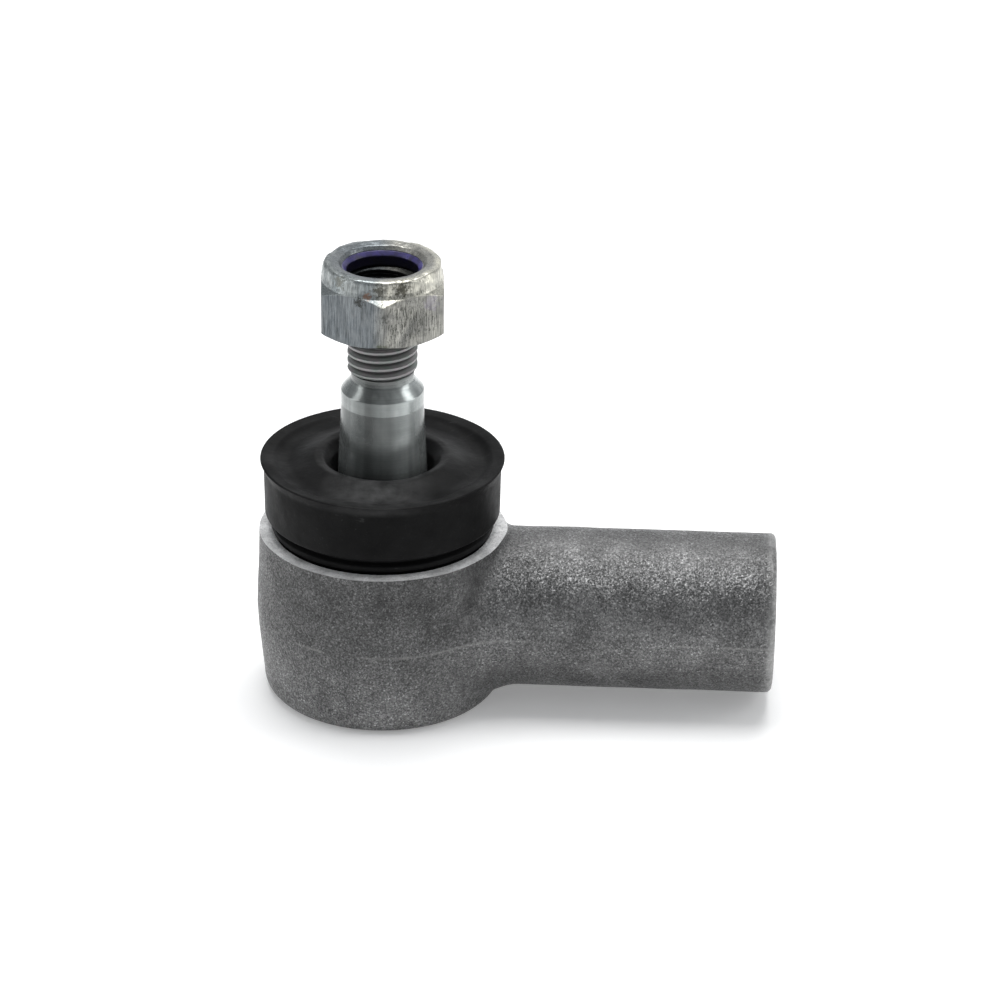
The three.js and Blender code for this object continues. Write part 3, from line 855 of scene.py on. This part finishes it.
def make_nut():
    base, top = NUT_LOW.z, NUT_HIGH.z
    hex_top = base + NUT_HEX_HEIGHT
    corner = NUT_FLATS / math.sqrt(3)
    countersink_r = 5.45
    angles = np.linspace(0, 2 * math.pi, 240, endpoint=False) + HEX_TURN
    outside = rounded(
        [
            (countersink_r, base),
            (8.1, base, 0.15),
            (corner + 0.1, base + 1.05, 0.9),
            (corner + 0.1, hex_top - 0.92, 0.12),
            (COLLAR_R + 0.2, hex_top + 0.02, 0.1),
            (COLLAR_R + 0.02, hex_top + 0.6, 0.5),
            (COLLAR_R - 0.2, top - 0.1, 1.15),
            (7.1, top + 0.02, 1.0),
            (6.1, top - 0.2, 0.4),
            (COLLAR_MOUTH_R, top - 0.75, 0.3),
            (COLLAR_MOUTH_R, top - 1.0),
        ],
        steps=8,
    )
    outside = finer(outside, 0.07, closed=False)
    pocket_top, pocket_foot = NYLON_HIGH.z + 0.1, NYLON_LOW.z - 0.1
    pocket = np.array([[COLLAR_MOUTH_R, pocket_top], [POCKET_R, pocket_top], [POCKET_R, pocket_foot]])
    inner = np.arange(pocket_foot, base - 0.001, -0.06)
    around = np.repeat(np.vstack([outside, pocket])[:, :1], len(angles), 1)
    hexagon = hexagon_radius(angles, NUT_FLATS, 0.16)
    in_hex = np.zeros(len(around), bool)
    in_hex[: len(outside)] = outside[:, 1] < hex_top + 0.01
    around[in_hex] = np.minimum(around[in_hex], hexagon[None, :])
    start = THREAD_START + STUD_PITCH / 2
    wave = thread_radius(inner, angles, STUD_PITCH, NUT_ROOT_R, NUT_CREST_R, 0.24, start)
    countersink = countersink_r - (inner - base)
    wave = np.maximum(wave, countersink[:, None])
    radius = np.vstack([around, wave])
    heights = np.concatenate([outside[:, 1], pocket[:, 1], inner])
    points = turned_points(radius, heights, angles)
    collar_rows = np.flatnonzero(outside[:, 1] > hex_top + 0.1)
    for row in collar_rows:  # the collar is rolled over the nylon, so it's never quite round
        rolled = smoothstep((heights[row] - hex_top - 0.1) / 1.2)
        places = [Vector(p) for p in points[row]]
        dents = np.array([noise.noise(p * 0.42) + 0.4 * noise.noise(p * 1.3) for p in places])
        points[row, :, :2] *= (1 + 0.02 * rolled * dents)[:, None]
        points[row, :, 2] += 0.12 * rolled * dents
    faces = grid_faces(len(heights), len(angles), True)
    mesh = mesh_from(points.reshape(-1, 3), faces, "lock_nut_metal")
    nut = link(mesh, "lock_nut_metal", [ZINC], 24)
    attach(nut, "nut_body")
    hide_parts("lock_nut")
    return nut


def make_nylon():
    low, high, outer = NYLON_LOW.z, NYLON_HIGH.z, NYLON_HIGH.x
    outline = rounded(
        [
            (FORMED_R, low, 0.35),
            (outer, low, 0.2),
            (outer, high, 0.2),
            (FORMED_R + 0.5, high, 0.15),
            (FORMED_R, high - 0.55, 0.2),
        ]
    )
    outline = finer(outline, 0.3)
    ring = link(turned_ring("nylon_ring", outline[:, 0], outline[:, 1], 128), "nylon_ring", [NYLON], 40)
    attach(ring, "insert_body")
    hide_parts("nylon_insert")
    return ring


# ---------- hidden pieces keep their CAD shape ----------

def dress(node, material):
    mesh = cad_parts[node].data
    mesh.materials.clear()
    mesh.materials.append(material)


# ---------- stage ----------

def make_floor():
    corners = [[x * FLOOR_HALF, y * FLOOR_HALF, 0] for x, y in ((-1, -1), (1, -1), (1, 1), (-1, 1))]
    mesh = mesh_from(corners, [[0, 1, 2, 3]], "floor")
    floor = bpy.data.objects.new("floor", mesh)
    bpy.context.scene.collection.objects.link(floor)
    mesh.materials.append(floor_paint())


def area_light(name, place, target, size, power):
    data = bpy.data.lights.new(name, "AREA")
    data.shape = "RECTANGLE"
    data.size, data.size_y = size
    data.energy = power
    light = bpy.data.objects.new(name, data)
    light.location = place
    light.rotation_mode = "QUATERNION"
    light.rotation_quaternion = (Vector(target) - Vector(place)).to_track_quat("-Z", "Y")
    bpy.context.scene.collection.objects.link(light)


def make_lights():
    """A soft box overhead, a dimmer one behind, a strip at each side, and a room pale near the floor."""
    centre = (0.02, 0, 0.03)
    area_light("overhead", (0.0, 0.22, 1.0), centre, (0.7, 0.75), 9.8)
    area_light("back", (0.35, 1.3, 0.62), centre, (1.4, 0.7), 1.9)
    area_light("left", (-0.75, -0.1, 0.35), centre, (0.22, 0.7), 1.0)
    area_light("right", (0.75, 0.05, 0.35), centre, (0.3, 0.7), 1.6)
    world = bpy.data.worlds.new("studio")
    bpy.context.scene.world = world
    world.use_nodes = True
    tree = world.node_tree
    background = tree.nodes["Background"]
    direction = tree.nodes.new("ShaderNodeTexCoord")
    height = tree.nodes.new("ShaderNodeSeparateXYZ")
    ramp = tree.nodes.new("ShaderNodeValToRGB")
    tree.links.new(direction.outputs["Generated"], height.inputs["Vector"])
    tree.links.new(height.outputs["Z"], ramp.inputs["Fac"])
    tree.links.new(ramp.outputs["Color"], background.inputs["Color"])
    low, high = ramp.color_ramp.elements
    low.position, low.color = 0.05, (0.76, 0.78, 0.8, 1)
    high.position, high.color = 0.35, (0.38, 0.39, 0.4, 1)
    background.inputs["Strength"].default_value = 1.0


def make_camera():
    """Looks at a point to the right of the stud and above the ball, a little from the right."""
    azimuth, elevation, roll = (math.radians(a) for a in (2.1, 26.0, 0.87))
    distance, scale = 0.52, 6.9  # metres, and picture units to a millimetre in a picture 1000 wide
    pivot = Vector((0, 0, AXIS_Z * MM))
    level = math.cos(elevation)
    back = Vector((math.sin(azimuth) * level, -math.cos(azimuth) * level, math.sin(elevation)))
    turn = (-back).to_track_quat("-Z", "Y").to_matrix() @ Matrix.Rotation(roll, 3, "Z")
    right, up = turn.col[0], turn.col[1]
    target = pivot + right * 17.0 * MM + up * 14.5 * MM
    data = bpy.data.cameras.new("camera")
    data.sensor_width = 36
    data.lens = data.sensor_width * scale * distance / MM / 1000
    camera = bpy.data.objects.new("camera", data)
    camera.location = target + back * distance
    camera.rotation_mode = "QUATERNION"
    camera.rotation_quaternion = turn.to_quaternion()
    bpy.context.scene.collection.objects.link(camera)
    bpy.context.scene.camera = camera


FORGED = forged_steel()
RIM_STEEL = machined_steel("rim_steel", bright=3.0, metallic=0.1)  # painted light: pale and hardly metallic, so the rim looks lit under the boot's overhang; tuned to the photograph
FACE_STEEL = machined_steel("face_steel", about_x=True)
BORE_STEEL = machined_steel("bore_steel", about_x=True, bright=0.7)
RUBBER = boot_rubber()
STUD = stud_steel()
ZINC = zinc_plate()
NYLON = nylon()
SEAT = seat_plastic()
SPRING = spring_steel()

make_camera()
make_housing()
make_boot()
make_stud()
make_nut()
make_nylon()
for node in ("lower_seat", "upper_seat"):
    dress(node, SEAT)
for node in ("disc_spring", "circlip", "boot_bead_ring", "boot_neck_ring"):
    dress(node, SPRING)
dress("closing_ring", RIM_STEEL)
make_floor()
make_lights()
bpy.context.scene.view_settings.view_transform = "Standard"
